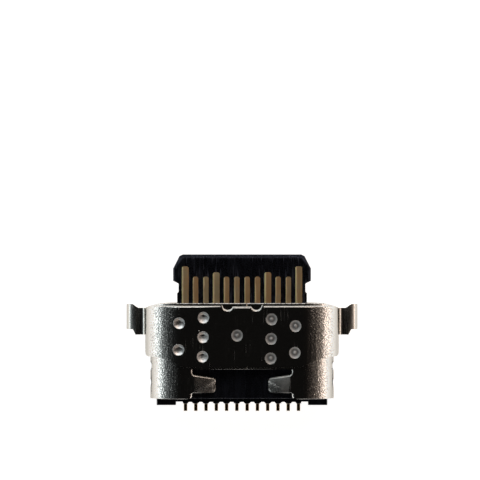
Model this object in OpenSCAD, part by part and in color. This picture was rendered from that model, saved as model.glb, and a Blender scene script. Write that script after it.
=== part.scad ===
// Charging port connector: a 24 contact socket with a bare plug tongue, sunk into a cut-out of its board.
// The plug comes from -Y, the welded cover is up, and Z = 0 is the flat underside of the inner shell.

/* [Contacts] */
// Spacing of neighbouring contacts in a row
pitch = 0.50; // [0.45:0.01:0.60]
// Sheet thickness of the contacts
contact_t = 0.15; // [0.10:0.01:0.17]
// Blade width of the ground and power contacts
wide_w = 0.33; // [0.28:0.01:0.40]
// Blade width of the signal contacts
signal_w = 0.26; // [0.22:0.01:0.32]
// Width of the solder tails
tail_w = 0.17; // [0.14:0.01:0.24]
// Tongue tip to the tips of the ground contacts
ground_tip = 0.58; // [0.40:0.01:0.80]
// Tongue tip to the tips of the power contacts
power_tip = 0.87; // [0.70:0.01:1.00]
// Tongue tip to the tips of the signal contacts
signal_tip = 1.08; // [0.90:0.01:1.30]
// How far the blades stand proud of the tongue
contact_proud = 0.015; // [0.005:0.005:0.04]
// Inner radius of the bends in the contacts
contact_bend_r = 0.10; // [0.06:0.01:0.13]
// Corner cut on the tips of the blades
tip_cut = 0.06; // [0.02:0.01:0.10]
// Length of the lower row's tails behind the shell floor
lower_tail = 1.19; // [0.90:0.01:1.50]
// Length of the upper row's tails behind their last bend
upper_tail = 0.80; // [0.60:0.01:1.20]

/* [Tongue] */
// Thickness of the tongue
tongue_t = 0.70; // [0.66:0.01:0.80]
// Outer contact's edge to the side of the tongue
tongue_margin = 0.43; // [0.38:0.01:0.60]
// Reach of the tongue in front of the shell
tongue_reach = 2.35; // [2.20:0.01:2.60]
// How much narrower the front edge is, on each side
nose_inset = 0.47; // [0.30:0.01:0.60]
// Length of the tapered nose
nose_taper = 0.68; // [0.50:0.01:0.85]
// Corner cut at the two ends of the front edge
nose_corner = 0.16; // [0.05:0.01:0.25]
// Length of the bevel along the front edge
nose_bevel = 0.18; // [0.10:0.01:0.30]
// Depth of that bevel
nose_bevel_d = 0.12; // [0.05:0.01:0.20]
// Tongue tip to the ledge that the plug latches behind
latch_ledge = 1.28; // [1.10:0.01:1.35]
// Depth of the latch notch
latch_depth = 0.27; // [0.15:0.01:0.32]
// Length of the latch notch
latch_run = 0.60; // [0.50:0.01:0.70]
// How much the tongue is narrower behind the notch, on each side
neck_inset = 0.20; // [0.10:0.01:0.25]
// Width of the hairline grooves in front of the contacts
groove_w = 0.05; // [0.03:0.01:0.10]
// Depth of those grooves
groove_d = 0.02; // [0.01:0.01:0.05]
// Shell front to the collar round the tongue
base_setback = 0.75; // [0.50:0.01:1.00]
// Extra thickness of that collar on each face
base_step = 0.35; // [0.30:0.01:0.45]
// Edge radius of the collar
base_r = 0.20; // [0.10:0.01:0.30]

/* [Plates] */
// Thickness of the latch plate inside the tongue
mid_plate_t = 0.15; // [0.10:0.01:0.20]
// Tongue tip to the front edge of that plate
mid_plate_setback = 0.40; // [0.25:0.01:0.60]
// Thickness of the two ground plates on the collar
ground_plate_t = 0.12; // [0.08:0.01:0.15]
// Inner radius of their front bend
ground_plate_r = 0.04; // [0.02:0.01:0.06]
// Side of the collar to the side of a ground plate
ground_plate_inset = 0.45; // [0.30:0.01:0.80]
// Depth of the ground plates in the back wall
ground_plate_anchor = 0.12; // [0.05:0.01:0.15]

/* [Inner shell] */
// Sheet thickness of the shell
shell_t = 0.30; // [0.25:0.01:0.33]
// Clear gap for the plug on each side of the tongue
side_gap = 0.825; // [0.70:0.005:1.00]
// Clear gap for the plug above and below the tongue
mate_gap = 0.93; // [0.85:0.01:1.05]
// Shell front to the back wall of the mouth
mouth_depth = 1.75; // [1.60:0.01:1.80]
// Length of the shell floor
floor_l = 2.87; // [2.75:0.01:3.20]
// Broken outer edge at the shell front
front_edge = 0.03; // [0.02:0.01:0.12]
// Sideways run of the slant at each end of the front edge
front_sweep = 0.50; // [0.30:0.01:0.80]
// Place of the folded sheet's seam in the roof
seam_x = -0.23; // [-0.45:0.01:0.45]
// Width of the seam
seam_gap = 0.03; // [0.02:0.01:0.06]
// Width of the rear window in the roof
window_w = 4.80; // [4.40:0.01:5.20]
// Corner radius of the window
window_r = 0.10; // [0.05:0.01:0.15]
// Cover edge to the window
window_lip = 0.12; // [0.02:0.01:0.20]
// Window's front edge to the hooks
hook_gap = 0.24; // [0.20:0.01:0.50]
// Width of the two hooks in the window
hook_w = 0.89; // [0.60:0.01:0.95]
// Reach of a hook from the window's side
hook_reach = 1.13; // [0.80:0.01:1.30]
// How much narrower a hook is at its tip
hook_taper = 0.17; // [0.05:0.01:0.20]
// Corner radius of the tips
hook_tip_r = 0.16; // [0.05:0.01:0.20]
// Fillet between a hook and the window's side
hook_root_r = 0.13; // [0.10:0.01:0.20]
// Downward bend of the hooks, in degrees
hook_bend = 14; // [8:1:24]
// Inner radius of that bend
hook_r = 0.10; // [0.05:0.01:0.20]
// Hooks to the rear edge of the roof
hook_back = 0.30; // [0.20:0.01:0.40]
// Corner radius of the roof beside its rear opening
roof_corner_r = 0.20; // [0.05:0.01:0.25]
// Rear edge of the roof to the rear face of the mouldings
roof_setback = 0.155; // [0.05:0.005:0.25]
// Height of the open sides above the shell's middle
side_relief = 0.45; // [0.20:0.01:0.60]
// Corner radius of the open sides
relief_r = 0.12; // [0.03:0.01:0.13]
// Shell floor to the crimp tabs
crimp_gap = 0.37; // [0.25:0.01:0.45]
// Width of the crimp tabs
crimp_w = 0.46; // [0.30:0.01:0.55]
// Straight drop of a crimp tab before its bend
crimp_drop = 0.20; // [0.10:0.01:0.25]
// Inward bend of the crimp tabs, in degrees
crimp_bend = 60; // [40:1:70]
// Inner radius of that bend
crimp_r = 0.12; // [0.06:0.01:0.15]
// Straight end of a crimp tab
crimp_run = 0.28; // [0.15:0.01:0.32]
// Width of the rear solder legs
rear_leg_w = 0.64; // [0.50:0.01:0.80]
// Width of the tab that bends up behind the floor
floor_tab_w = 1.04; // [0.80:0.01:1.30]
// Relief beside that tab
floor_tab_relief = 0.20; // [0.10:0.01:0.30]
// Splay of the relief's outer sides
floor_tab_splay = 0.13; // [0.00:0.01:0.20]
// Inner radius of the tab's bend
floor_tab_r = 0.05; // [0.03:0.01:0.10]
// Straight end of the tab above its bend
floor_tab_rise = 0.26; // [0.15:0.01:0.27]
// Place of the two lanced dimples from the middle
dimple_x = 1.62; // [1.40:0.01:1.90]
// Shell front to the straight edge of the dimples
dimple_y = 1.94; // [1.85:0.01:2.05]
// Radius of a dimple's round side
dimple_side_r = 0.56; // [0.40:0.01:0.60]
// Depth of the dimples
dimple_d = 0.22; // [0.12:0.01:0.25]

/* [Outer cover] */
// Sheet thickness of the cover
cover_t = 0.25; // [0.20:0.01:0.30]
// Shell front to the front edge of the cover
cover_setback = 0.12; // [0.08:0.01:0.30]
// Further setback of that edge at the sides
cover_side_setback = 0.13; // [0.00:0.01:0.20]
// Place of the two half-round notches from the middle
notch_x = 0.69; // [0.55:0.01:0.90]
// Radius of the notches
notch_r = 0.245; // [0.15:0.005:0.30]
// Depth of the notches
notch_d = 0.20; // [0.10:0.01:0.24]
// Further setback of the edge between them
notch_land = 0.03; // [0.00:0.01:0.15]
// Half width of the full-length rear edge
tail_half = 2.82; // [2.60:0.01:3.20]
// Sideways run of the chamfer beside it
tail_chamfer = 0.74; // [0.40:0.01:0.90]
// How much the sides end in front of the rear edge
side_short = 0.48; // [0.20:0.01:0.60]
// Sweep of the rear edge between the sides and the chamfer
side_sweep = 0.13; // [0.05:0.01:0.20]
// Rounding of the lower rear corners of the sides
side_corner_r = 1.25; // [0.80:0.01:1.30]
// How far the sides reach below the shell's middle
side_drop = 0.35; // [0.20:0.01:0.42]
// Outside width over the front legs
leg_span = 11.28; // [11.00:0.01:11.60]
// Shell front to the ears
ear_front = 0.24; // [0.20:0.01:0.40]
// Length of the ears along the side
ear_l = 1.32; // [1.20:0.01:1.45]
// Inner radius of the bend from the side to an ear
ear_root_r = 0.20; // [0.10:0.01:0.22]
// Inner radius of the bend from an ear to its leg
ear_bend_r = 0.25; // [0.15:0.01:0.28]
// How far the legs stand in front of their ears
leg_lead = 0.18; // [0.05:0.01:0.20]
// Width of the front legs
leg_w = 1.24; // [0.80:0.01:1.28]
// Corner cut at the ends of all four legs
leg_tip_cut = 0.16; // [0.05:0.01:0.25]

/* [Weld spots] */
// Diameter of a weld spot
weld_d = 0.56; // [0.40:0.01:0.70]
// Depth of its dish
weld_dish = 0.09; // [0.02:0.005:0.12]
// Depth of the pit in its middle
weld_pit = 0.03; // [0.01:0.005:0.05]
// Outer columns from the pattern's middle
weld_outer = 2.80; // [2.50:0.01:2.90]
// Inner columns from the pattern's middle
weld_inner = 1.64; // [1.20:0.01:1.90]
// Row spacing in the two outer columns
weld_outer_pitch = 1.28; // [0.80:0.01:1.40]
// Row spacing in the two inner columns
weld_inner_pitch = 0.94; // [0.75:0.01:1.00]
// Sideways shift of the pattern, clear of the seam
weld_shift = 0.24; // [0.00:0.01:0.30]
// Pattern's middle behind the cover's middle
weld_back = 0.075; // [0.00:0.005:0.15]
// Middle spot in front of the pattern's middle
weld_mid_lead = 0.12; // [0.00:0.01:0.20]
// Turn of the pattern, in degrees
weld_turn = -1.4; // [-3:0.1:3]

/* [Mouldings and board] */
// Board's face below the shell's middle
board_drop = 0.80; // [0.75:0.01:0.90]
// How far the tails stand below the mouldings
tail_show = 0.05; // [0.02:0.01:0.08]
// Leg tips above the shell's underside
leg_clear = 0.06; // [0.02:0.01:0.20]
// Sliding clearance of the housing in the shell
fit = 0.02; // [0.01:0.005:0.03]
// Back wall in front of the two wafers
wafer_skin = 0.20; // [0.12:0.01:0.25]
// Thickness of the upper wafer over the latch plate
upper_wafer_t = 0.67; // [0.55:0.01:0.75]
// Upper wafer beside its outer contacts
upper_wafer_side = 0.29; // [0.20:0.01:0.40]
// Lower wafer beside its outer tails
lower_wafer_side = 0.50; // [0.30:0.01:0.60]
// Lower wafer behind its tails
lower_wafer_end = 0.06; // [0.03:0.01:0.10]
// Moulding in front of the upper contacts' drop
drop_skin = 0.085; // [0.05:0.005:0.12]
// Moulding behind the upper contacts' last bend
rear_wall = 0.30; // [0.20:0.01:0.40]
// Reach of the webs beside the rear tails
web_reach = 0.09; // [0.05:0.01:0.15]
// Moulding left on each side of a rear tail
web_side = 0.03; // [0.02:0.01:0.05]
// Reach of the two rear feet
foot_reach = 0.18; // [0.08:0.01:0.30]
// Height of the feet above the shell's middle
foot_rise = 0.30; // [0.10:0.01:0.60]

/* [Hidden] */
$fn = 64;
ways = 12;
power_ways = [ways / 3, 3 * ways / 4];
side_signs = [-1, 1];
over = 0.5; // how far cutting shapes run past the faces that they cut

// Widths and heights, worked outwards from the contact rows
row_w = (ways - 1) * pitch;
tongue_w = row_w + wide_w + 2 * tongue_margin;
mouth_w = tongue_w + 2 * side_gap;
mouth_h = tongue_t + 2 * mate_gap;
shell_w = mouth_w + 2 * shell_t;
shell_h = mouth_h + 2 * shell_t;
body_w = mouth_w - 2 * fit;
body_h = mouth_h - 2 * fit;
base_t = tongue_t + 2 * base_step;
ground_plate_w = tongue_w - 2 * ground_plate_inset;
lower_shift = pitch / 2;
upper_wafer_w = row_w + wide_w + 2 * upper_wafer_side;
lower_wafer_w = row_w + 2 * lower_shift + tail_w + 2 * lower_wafer_side;

// Heights
z_mid = shell_h / 2;
z_roof = shell_h - shell_t;
z_board = z_mid - board_drop;
z_under = z_board + tail_show;
z_upper = z_mid + tongue_t / 2 + contact_proud - contact_t / 2;
z_lower = z_mid - tongue_t / 2 - contact_proud + contact_t / 2;
z_tail = z_board + contact_t / 2;
z_upper_wafer = z_mid + mid_plate_t / 2 + upper_wafer_t;
z_lower_wafer = z_board - contact_t / 2;

// Places along Y, from the shell's front edge backwards
contact_bend = contact_bend_r + contact_t / 2;
y_tip = -tongue_reach;
y_wafer = mouth_depth + wafer_skin;
y_neck = y_wafer + tip_cut;
y_step = floor_l - fit;
y_lower_bend = y_step - 2 * contact_bend - contact_t / 3;
y_lower_end = floor_l + lower_tail;
y_lower_wafer = y_lower_end + lower_wafer_end;
y_drop = y_lower_wafer + fit;
y_upper_bend = y_drop + drop_skin - contact_bend_r;
y_upper_tail = y_upper_bend + 2 * contact_bend;
y_tail_end = y_upper_tail + upper_tail;
y_rear = y_upper_tail + rear_wall;
y_feet = y_rear + foot_reach;
roof_l = y_rear - roof_setback;
y_block = roof_l - fit;
y_hook = roof_l - hook_back - hook_w;
y_window = y_hook - hook_gap;
y_cover = y_window - window_lip;
y_cover_side = y_cover - side_short;
y_crimp = floor_l + crimp_gap;
y_rear_leg = roof_l - rear_leg_w;
y_plate_end = y_lower_wafer - crimp_r;
y_weld = (cover_setback + y_cover) / 2 + weld_back;

// The part's origin is under the middle of its box
y_origin = (y_tail_end + y_tip) / 2;

// Which contacts are ground, power and signal
function is_ground(i) = i == 1 || i == ways;
function is_power(i) = len(search(i, power_ways)) > 0;
function blade_w(i) = is_ground(i) || is_power(i) ? wide_w : signal_w;
function tip_of(i) = y_tip + (is_ground(i) ? ground_tip : is_power(i) ? power_tip : signal_tip);
function contact_x(i) = (i - (ways + 1) / 2) * pitch;

// One side of an outline, and the same points on the other side
function mirrored(side) = concat(side, [for (k = [len(side) - 1 : -1 : 0]) [-side[k][0], side[k][1]]]);

// Extrusions of an XZ, YZ or XY outline between two places
module along_y(y0, y1) translate([0, y1, 0]) rotate([90, 0, 0]) linear_extrude(y1 - y0) children();
module along_x(x0, x1) translate([x0, 0, 0]) rotate([90, 0, 90]) linear_extrude(x1 - x0) children();
module along_z(z0, z1) translate([0, 0, z0]) linear_extrude(z1 - z0) children();

module both_sides() {
    children();
    mirror([1, 0, 0]) children();
}

module box(x0, x1, y0, y1, z0, z1) translate([x0, y0, z0]) cube([x1 - x0, y1 - y0, z1 - z0]);

// Flat tube outline, with round ends, about the shell's middle
module stadium(w, h) translate([0, z_mid]) {
    square([w - h, h], center = true);
    for (s = side_signs) translate([s * (w - h) / 2, 0]) circle(h / 2);
}

// Rectangle with four round corners
module round_square(w, h, r) {
    square([w - 2 * r, h], center = true);
    square([w, h - 2 * r], center = true);
    for (sx = side_signs, sy = side_signs)
        translate([sx * (w / 2 - r), sy * (h / 2 - r)]) circle(r);
}

// A bend of a sheet, seen on edge: it starts along +X at the origin and turns left for a positive angle
module bend_sector(t, turn, r) {
    side = sign(turn);
    reach = 2 * (r + t);
    start = -90 * side;
    translate([0, side * (r + t / 2)]) intersection() {
        difference() {
            circle(r + t);
            circle(r);
        }
        polygon([
            [0, 0],
            for (a = [0 : 2]) reach * [cos(start + a * turn / 2), sin(start + a * turn / 2)]
        ]);
    }
}

// A folded sheet on edge: each step is [straight run, turn after it, inner radius of that turn]
module folded(t, steps, i = 0) {
    if (i < len(steps)) {
        run = steps[i][0];
        turn = steps[i][1];
        r = steps[i][2];
        centre = sign(turn) * (r + t / 2);
        translate([0, -t / 2]) square([run, t]);
        if (turn != 0) translate([run, 0]) {
            bend_sector(t, turn, r);
            translate([0, centre]) rotate(turn) translate([0, -centre]) folded(t, steps, i + 1);
        }
    }
}

// Cap of a ball: half of it for a half turn, standing on Z = 0
module cap(base_r, rise, turn, grow = 0, below = 0) {
    ball_r = (base_r * base_r + rise * rise) / (2 * rise);
    rotate_extrude(angle = turn) intersection() {
        translate([0, rise - ball_r]) circle(ball_r + grow);
        translate([0, -below]) square([ball_r + grow, below + rise + grow]);
    }
}

// Two chamfered corners at the end of a leg that lies in a YZ plane
module leg_outline(y0, y1, z1) polygon([
    [y0 + leg_tip_cut, leg_clear],
    [y1 - leg_tip_cut, leg_clear],
    [y1, leg_clear + leg_tip_cut],
    [y1, z1],
    [y0, z1],
    [y0, leg_clear + leg_tip_cut]
]);

// Inner shell: one folded sheet with its mouth, window, hooks, crimps, legs, dimples and floor tab

module shell_blank() {
    end_x = (shell_w - shell_h) / 2;
    r = shell_h / 2;
    along_y(front_edge, roof_l) stadium(shell_w, shell_h);
    for (s = side_signs)
        translate([s * end_x, front_edge, z_mid]) rotate([90, 0, 0])
            cylinder(h = front_edge, r1 = r, r2 = r - front_edge);
    along_x(-end_x, end_x) translate([0, z_mid])
        polygon([[0, -r + front_edge], [front_edge, -r], [front_edge, r], [0, r - front_edge]]);
}

module window_outline() {
    l = roof_l - y_window + over;
    translate([-window_w / 2 + window_r, y_window]) square([window_w - 2 * window_r, l]);
    translate([-window_w / 2, y_window + window_r]) square([window_w, l - window_r]);
    for (s = side_signs)
        translate([s * (window_w / 2 - window_r), y_window + window_r]) circle(window_r);
}

// What the slant takes off an end of the front edge, seen from above
module front_slant() polygon([
    [shell_w / 2 - front_sweep, 0],
    [shell_w / 2, cover_setback],
    [shell_w, cover_setback],
    [shell_w, -over],
    [shell_w / 2 - front_sweep, -over]
]);

// What rounds the roof's corners beside its rear opening
module roof_corner() difference() {
    translate([window_w / 2 - over, roof_l - roof_corner_r])
        square([over + roof_corner_r, roof_corner_r + over]);
    translate([window_w / 2 + roof_corner_r, roof_l - roof_corner_r]) circle(roof_corner_r);
}

// An open stretch of a side wall, in a YZ plane, with round upper corners
module relief_outline(y0, y1) {
    z1 = z_mid + side_relief;
    translate([y0, z_mid - over]) square([y1 - y0, z1 - relief_r - z_mid + over]);
    translate([y0 + relief_r, z_mid]) square([y1 - y0 - 2 * relief_r, side_relief]);
    for (y = [y0 + relief_r, y1 - relief_r]) translate([y, z1 - relief_r]) circle(relief_r);
}

module shell_tube() difference() {
    shell_blank();
    along_y(-over, roof_l + over) stadium(mouth_w, mouth_h);
    box(-shell_w, shell_w, floor_l, roof_l + over, -over, z_mid);
    both_sides() {
        along_z(-over, shell_h + over) front_slant();
        along_x(mouth_w / 4, shell_w) {
            relief_outline(floor_l, y_crimp);
            relief_outline(y_crimp + crimp_w, y_rear_leg);
        }
    }
    along_z(z_roof - shell_t / 2, shell_h + over) {
        window_outline();
        both_sides() roof_corner();
    }
    box(seam_x - seam_gap / 2, seam_x + seam_gap / 2, -over, y_window + over, z_roof - over, shell_h + over);
}

// A hook seen from above, with a slanted front edge and a round tip
module hook_plan(grow) {
    slant = atan(hook_taper / hook_reach);
    rise = 1 / cos(slant) - tan(slant);
    side_x = window_w / 2;
    root_x = side_x + shell_t;
    tip_x = side_x - hook_reach - grow;
    tip_r = hook_tip_r + grow;
    rear_y = y_hook + hook_w + grow;
    front_y = y_hook + hook_taper - grow * rise;
    normal = [sin(slant), cos(slant)];
    tip = [tip_x + tip_r, front_y + tip_r * rise];
    polygon([
        [root_x, front_y - (root_x - tip_x) * tan(slant)],
        tip - tip_r * normal,
        [tip_x, tip[1]],
        [tip_x, rear_y - tip_r],
        [tip_x + tip_r, rear_y],
        [root_x, rear_y]
    ]);
    translate(tip) circle(tip_r);
    translate([tip_x + tip_r, rear_y - tip_r]) circle(tip_r);
    // Fillet at the root of a hook, or a square corner in its pocket
    root_r = hook_root_r - grow;
    root_c = side_x - hook_root_r;
    root = [root_c, front_y - (root_c - tip_x) * tan(slant) - root_r / cos(slant)];
    difference() {
        polygon([root, [root_x, root[1]], [root_x, rear_y], root + root_r * normal]);
        if (grow == 0) translate(root) circle(root_r);
    }
}

// A hook, or with a clearance its pocket, which is open from above
module hook(grow = 0) {
    root = shell_t;
    bend = hook_r + shell_t / 2;
    lean = bend * sin(hook_bend) + shell_t / 2 * sin(hook_bend);
    run = (hook_reach - lean) / cos(hook_bend) + grow;
    bend_end = [root + bend * sin(hook_bend), bend * (cos(hook_bend) - 1)];
    tip = bend_end + run * [cos(hook_bend), -sin(hook_bend)];
    intersection() {
        along_y(y_hook - over, y_hook + hook_w + over)
            translate([window_w / 2 + root, shell_h - shell_t / 2]) mirror([1, 0]) {
                folded(shell_t + 2 * grow, [[root, -hook_bend, hook_r - grow], [run, 0, 0]]);
                if (grow > 0) polygon([[0, 0], [root, 0], bend_end, tip, [tip[0] + over, over], [0, over]]);
            }
        along_z(z_mid, shell_h + over) hook_plan(grow);
    }
}

module crimp() along_y(y_crimp, y_crimp + crimp_w)
    translate([mouth_w / 2 + shell_t / 2, z_mid]) rotate(-90)
        folded(shell_t, [[crimp_drop, -crimp_bend, crimp_r], [crimp_run, 0, 0]]);

module rear_leg() along_x(mouth_w / 2, shell_w / 2) leg_outline(y_rear_leg, roof_l, z_mid);

module floor_tab_notch() {
    half = floor_tab_w / 2 + floor_tab_relief;
    depth = floor_tab_r + shell_t;
    along_z(-over, shell_t + over) polygon([
        [-half, floor_l - depth],
        [half, floor_l - depth],
        [half + floor_tab_splay, floor_l + fit],
        [-half - floor_tab_splay, floor_l + fit]
    ]);
}

module floor_tab() {
    depth = floor_tab_r + shell_t;
    root = shell_t / 2;
    along_x(-floor_tab_w / 2, floor_tab_w / 2) translate([floor_l - depth - root, shell_t / 2])
        folded(shell_t, [[root, 90, floor_tab_r], [floor_tab_rise, 0, 0]]);
}

// A dimple's dome above the floor
module dimple_bump(grow) intersection() {
    translate([dimple_x, dimple_y, 0]) cap(dimple_side_r, dimple_d, 180, grow);
    box(0, shell_w, 0, floor_l, shell_t / 2, z_mid);
}

module inner_shell() color("silver") difference() {
    union() {
        difference() {
            shell_tube();
            floor_tab_notch();
        }
        both_sides() {
            hook();
            crimp();
            rear_leg();
            dimple_bump(shell_t);
        }
        floor_tab();
    }
    both_sides() translate([dimple_x, dimple_y, 0]) cap(dimple_side_r, dimple_d, 180, below = over);
}

// Outer cover: one folded sheet over the shell, with ears, front legs and weld spots

module cover_section() {
    intersection() {
        difference() {
            stadium(shell_w + 2 * cover_t, shell_h + 2 * cover_t);
            stadium(shell_w, shell_h);
        }
        translate([-shell_w, z_mid]) square([2 * shell_w, shell_h]);
    }
    for (s = side_signs)
        translate([s * (shell_w + cover_t) / 2, z_mid - side_drop / 2])
            square([cover_t, side_drop], center = true);
}

module cover_plan() difference() {
    half = shell_w / 2 + cover_t;
    side = [
        [shell_w / 2, cover_setback],
        [half, cover_setback + cover_side_setback],
        [half + over, cover_setback + cover_side_setback],
        [half + over, y_cover_side],
        [mouth_w / 2, y_cover_side],
        [tail_half + tail_chamfer, y_cover_side + side_sweep],
        [tail_half, y_cover]
    ];
    polygon(mirrored(side));
    for (s = side_signs) translate([s * notch_x, cover_setback + notch_d - notch_r]) circle(notch_r);
    translate([-notch_x, 0]) square([2 * notch_x, cover_setback + notch_land]);
}

// What the rounding takes off the lower rear corner of each side, in a YZ plane
module side_corner() difference() {
    translate([y_cover_side - side_corner_r, z_mid - side_drop - over])
        square([side_corner_r + over, side_corner_r + over]);
    translate([y_cover_side - side_corner_r, z_mid - side_drop + side_corner_r]) circle(side_corner_r);
}

module ear() {
    root = ear_root_r + cover_t / 2;
    bend = ear_bend_r + cover_t / 2;
    wall_x = (shell_w + cover_t) / 2;
    leg_x = leg_span / 2 - cover_t / 2;
    flat_z = z_board + cover_t / 2;
    leg_y = ear_front - leg_lead;
    turn_x = leg_x - bend + leg_lead;
    steps = [
        [z_mid - flat_z - root, 90, ear_root_r],
        [leg_x - wall_x - root - bend, -90, ear_bend_r],
        [flat_z - bend - leg_clear, 0, 0]
    ];
    intersection() {
        along_y(leg_y, ear_front + ear_l) translate([wall_x, z_mid]) rotate(-90) folded(cover_t, steps);
        along_z(0, z_mid) ear_plan(turn_x, leg_y);
        union() {
            box(0, turn_x, 0, ear_front + ear_l, 0, z_mid);
            along_x(turn_x, leg_span) leg_outline(leg_y, leg_y + leg_w, z_mid);
        }
    }
}

// The ear seen from above: flat along the side, with a slant to the leg in front and behind
module ear_plan(turn_x, leg_y) {
    rear = ear_front + ear_l;
    step = rear - leg_y - leg_w;
    slant = 3 * leg_lead / 2;
    difference() {
        translate([0, leg_y]) square([leg_span, rear - leg_y]);
        polygon([
            [0, leg_y - over],
            [0, ear_front],
            [turn_x - slant, ear_front],
            [turn_x, leg_y],
            [turn_x, leg_y - over]
        ]);
        polygon([
            [turn_x, rear - step],
            [turn_x - step / 2, rear],
            [turn_x - step / 2, rear + over],
            [leg_span, rear + over],
            [leg_span, rear - step]
        ]);
    }
}

// Columns of the weld pattern: [place, rows, spacing, lead]
weld_columns = [
    [-weld_outer, 2, weld_outer_pitch, 0],
    [-weld_inner, 3, weld_inner_pitch, 0],
    [0, 1, 0, weld_mid_lead],
    [weld_inner, 3, weld_inner_pitch, 0],
    [weld_outer, 2, weld_outer_pitch, 0]
];

module weld_dish() {
    dish_r = weld_d / 2;
    ball_r = (dish_r * dish_r + weld_dish * weld_dish) / (2 * weld_dish);
    rotate_extrude() {
        intersection() {
            translate([0, ball_r - weld_dish]) circle(ball_r);
            translate([0, -weld_dish]) square([weld_d, 2 * weld_dish]);
        }
        polygon([[0, -weld_dish - weld_pit], [weld_dish + weld_pit, 0], [0, 0]]);
    }
}

module welds() translate([weld_shift, y_weld, shell_h + cover_t]) rotate(weld_turn)
    for (c = weld_columns, row = [0 : c[1] - 1])
        translate([c[0], (row - (c[1] - 1) / 2) * c[2] - c[3], 0]) weld_dish();

module outer_cover() color("gainsboro") difference() {
    union() {
        difference() {
            intersection() {
                along_y(0, y_cover) cover_section();
                along_z(-over, shell_h + over) cover_plan();
            }
            both_sides() along_x(shell_w / 4, shell_w) side_corner();
        }
        both_sides() ear();
    }
    welds();
}

// Contacts: a flat blade on the tongue, then a folded tail

module blade_outline(i, shift, y_bend) {
    w = blade_w(i) / 2;
    tip = tip_of(i);
    turn_y = shift == 0 ? y_neck + blade_w(i) : (y_neck + y_bend) / 2;
    polygon([
        [-w, tip + tip_cut],
        [-w + tip_cut, tip],
        [w - tip_cut, tip],
        [w, tip + tip_cut],
        [w, y_neck],
        [shift + tail_w / 2, turn_y],
        [shift + tail_w / 2, y_bend],
        [shift - tail_w / 2, y_bend],
        [shift - tail_w / 2, turn_y],
        [-w, y_neck]
    ]);
}

module contact(i, z, shift, y_bend, y_end) {
    root = contact_t / 3;
    drop = z - z_tail - 2 * contact_bend;
    steps = [
        [root, -90, contact_bend_r],
        [drop, 90, contact_bend_r],
        [y_end - y_bend - 2 * contact_bend, 0, 0]
    ];
    translate([contact_x(i), 0, 0]) {
        along_z(z - contact_t / 2, z + contact_t / 2) blade_outline(i, shift, y_bend);
        along_x(shift - tail_w / 2, shift + tail_w / 2) translate([y_bend - root, z])
            folded(contact_t, steps);
    }
}

module upper_contact(i) color("goldenrod")
    contact(i, z_upper, 0, y_upper_bend, y_tail_end);

module lower_contact(i) color("goldenrod")
    contact(i, z_lower, lower_shift * sign(contact_x(i)), y_lower_bend, y_lower_end);

// Plates in and on the tongue

module tongue_outline() {
    half = tongue_w / 2;
    nose = half - nose_inset;
    notch = half - latch_depth;
    neck = half - neck_inset;
    ramp = latch_depth / 2;
    side = [
        [nose, y_tip],
        [nose + nose_corner, y_tip + nose_corner / 2],
        [half, y_tip + nose_taper],
        [half, y_tip + latch_ledge],
        [notch, y_tip + latch_ledge + ramp],
        [notch, y_tip + latch_ledge + latch_run - ramp / 2],
        [neck, y_tip + latch_ledge + latch_run],
        [neck, mouth_depth]
    ];
    polygon(mirrored(side));
}

module mid_plate() color("lightsteelblue") {
    inner = tongue_w / 2 - nose_inset;
    wing = mouth_w / 2 - fit / 2;
    along_z(z_mid - mid_plate_t / 2, z_mid + mid_plate_t / 2) {
        translate([-inner, y_tip + mid_plate_setback])
            square([2 * inner, y_plate_end - y_tip - mid_plate_setback]);
        intersection() {
            tongue_outline();
            translate([-tongue_w, y_tip + nose_taper])
                square([2 * tongue_w, latch_ledge + latch_run - nose_taper]);
        }
        translate([-wing, y_wafer + wafer_skin / 2])
            square([2 * wing, y_step - y_wafer - wafer_skin]);
    }
}

// One ground plate, for the upper face of the collar
module ground_plate() {
    bend = ground_plate_r + ground_plate_t / 2;
    lip_gap = (contact_proud + base_step) / 5;
    z_lip = z_mid + tongue_t / 2 + lip_gap;
    z_flat = z_mid + base_t / 2 - ground_plate_t / 2;
    y_lip = base_setback + ground_plate_t / 2;
    steps = [
        [z_flat - bend - z_lip, -90, ground_plate_r],
        [mouth_depth + ground_plate_anchor - y_lip - bend, 0, 0]
    ];
    along_x(-ground_plate_w / 2, ground_plate_w / 2)
        translate([y_lip, z_lip]) rotate(90) folded(ground_plate_t, steps);
}

module upper_ground_plate() color("lightsteelblue") ground_plate();

module lower_ground_plate() color("lightsteelblue")
    translate([0, 0, 2 * z_mid]) mirror([0, 0, 1]) ground_plate();

// Mouldings

module upper_wafer_block() {
    half = upper_wafer_w / 2;
    box(-half, half, y_wafer, y_block, z_mid + mid_plate_t / 2, z_upper_wafer);
    difference() {
        box(-half, half, y_drop, y_rear + web_reach, z_under, z_mid + upper_wafer_t);
        along_z(0, shell_h) rear_arches();
    }
}

// Round-topped gaps between the rear tails, and the two ends of the webs
module rear_arches() {
    gap = pitch - tail_w - 2 * web_side;
    for (i = [1 : ways - 1]) translate([contact_x(i) + pitch / 2, y_rear + gap / 2]) {
        circle(gap / 2);
        translate([-gap / 2, 0]) square([gap, over]);
    }
    for (s = side_signs)
        translate([s * (row_w + tail_w + 2 * web_side + upper_wafer_w) / 2, y_rear + over / 2])
            square([upper_wafer_w, over], center = true);
}

module upper_wafer() color("dimgray") difference() {
    upper_wafer_block();
    for (i = [1 : ways]) upper_contact(i);
}

module lower_wafer_block() {
    half = lower_wafer_w / 2;
    box(-half, half, y_wafer, y_step, z_lower_wafer, z_mid - mid_plate_t / 2);
    box(-half, half, y_wafer, y_lower_wafer, z_under, z_mid - mid_plate_t / 2);
}

module lower_wafer() color("dimgray") difference() {
    lower_wafer_block();
    for (i = [1 : ways]) lower_contact(i);
}

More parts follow.
